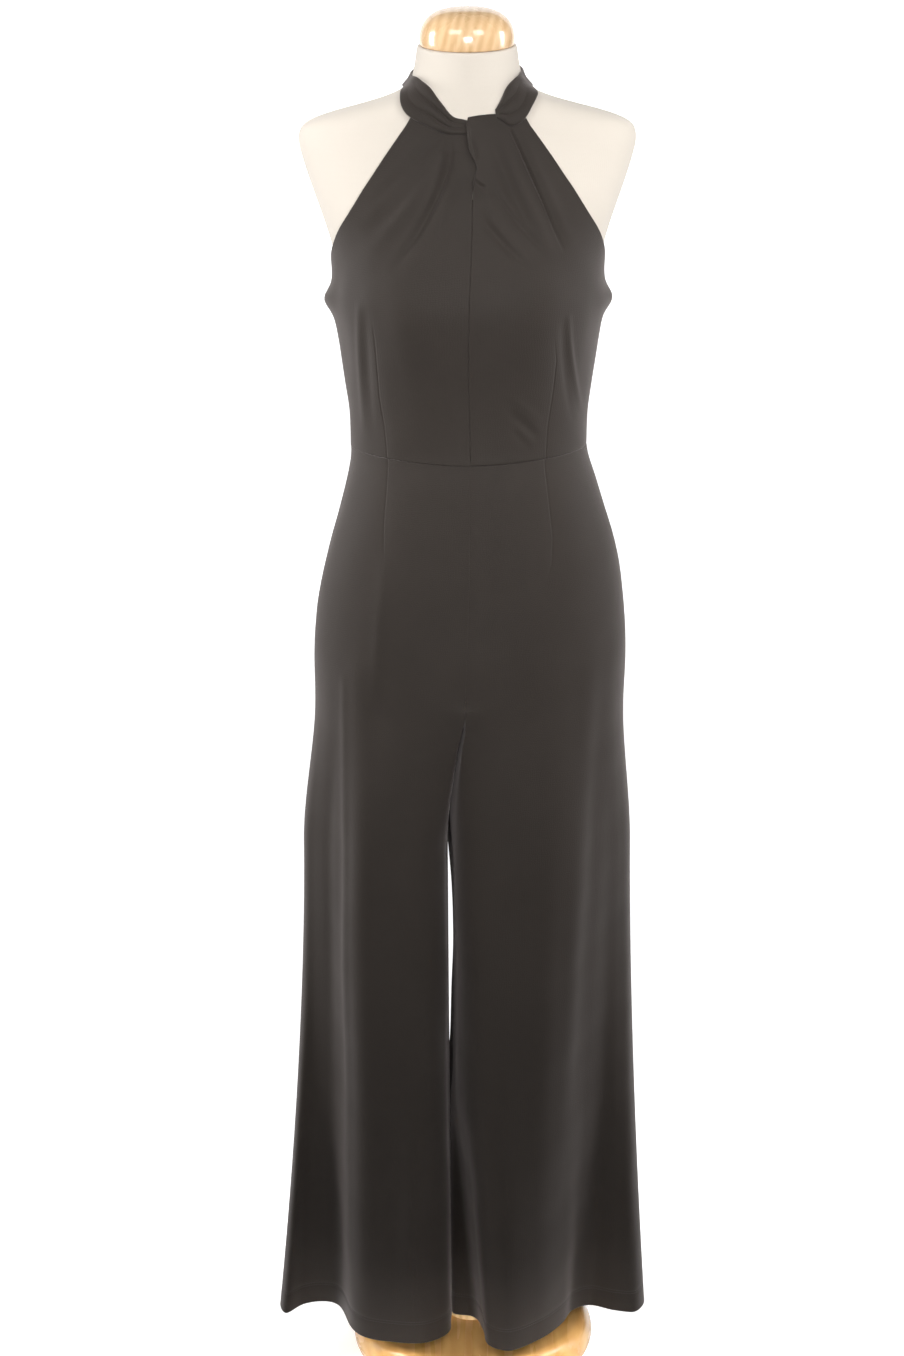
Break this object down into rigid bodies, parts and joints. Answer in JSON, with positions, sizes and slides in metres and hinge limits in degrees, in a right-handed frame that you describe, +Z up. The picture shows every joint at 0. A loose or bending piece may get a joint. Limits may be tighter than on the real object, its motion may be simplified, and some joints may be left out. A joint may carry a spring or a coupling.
{
  "type": "halter jumpsuit on a dress form",
  "caption": "Sleeveless halter jumpsuit with a knotted neckline and wide legs, worn by a limbless dress form that stands on a round wooden base.",
  "frame": {"origin": "centre of the round base's underside, on the floor", "axes": "+Z up, the garment's front faces -Y, +X is the wearer's left"},
  "size_m": [0.4195, 0.274, 1.4899],
  "materials": {
    "crepe": "smooth stretch crepe with a soft sheen",
    "button": "polished black",
    "form_cover": "cream jersey stretched over the form",
    "stand_wood": "pale honey-coloured wood, varnished"
  },
  "bodies": {
    "root": {"front_right": "crepe", "front_left": "crepe", "back_right": "crepe", "back_left": "crepe", "neck_band_right": "crepe", "neck_band_left": "crepe", "leg_front_right": "crepe", "leg_front_left": "crepe", "leg_back_right": "crepe", "leg_back_left": "crepe", "nape_button": "button", "form_torso": "form_cover", "neck_cap": "stand_wood", "stand_pole": "stand_wood", "stand_base": "stand_wood"}
  },
  "joints": []
}
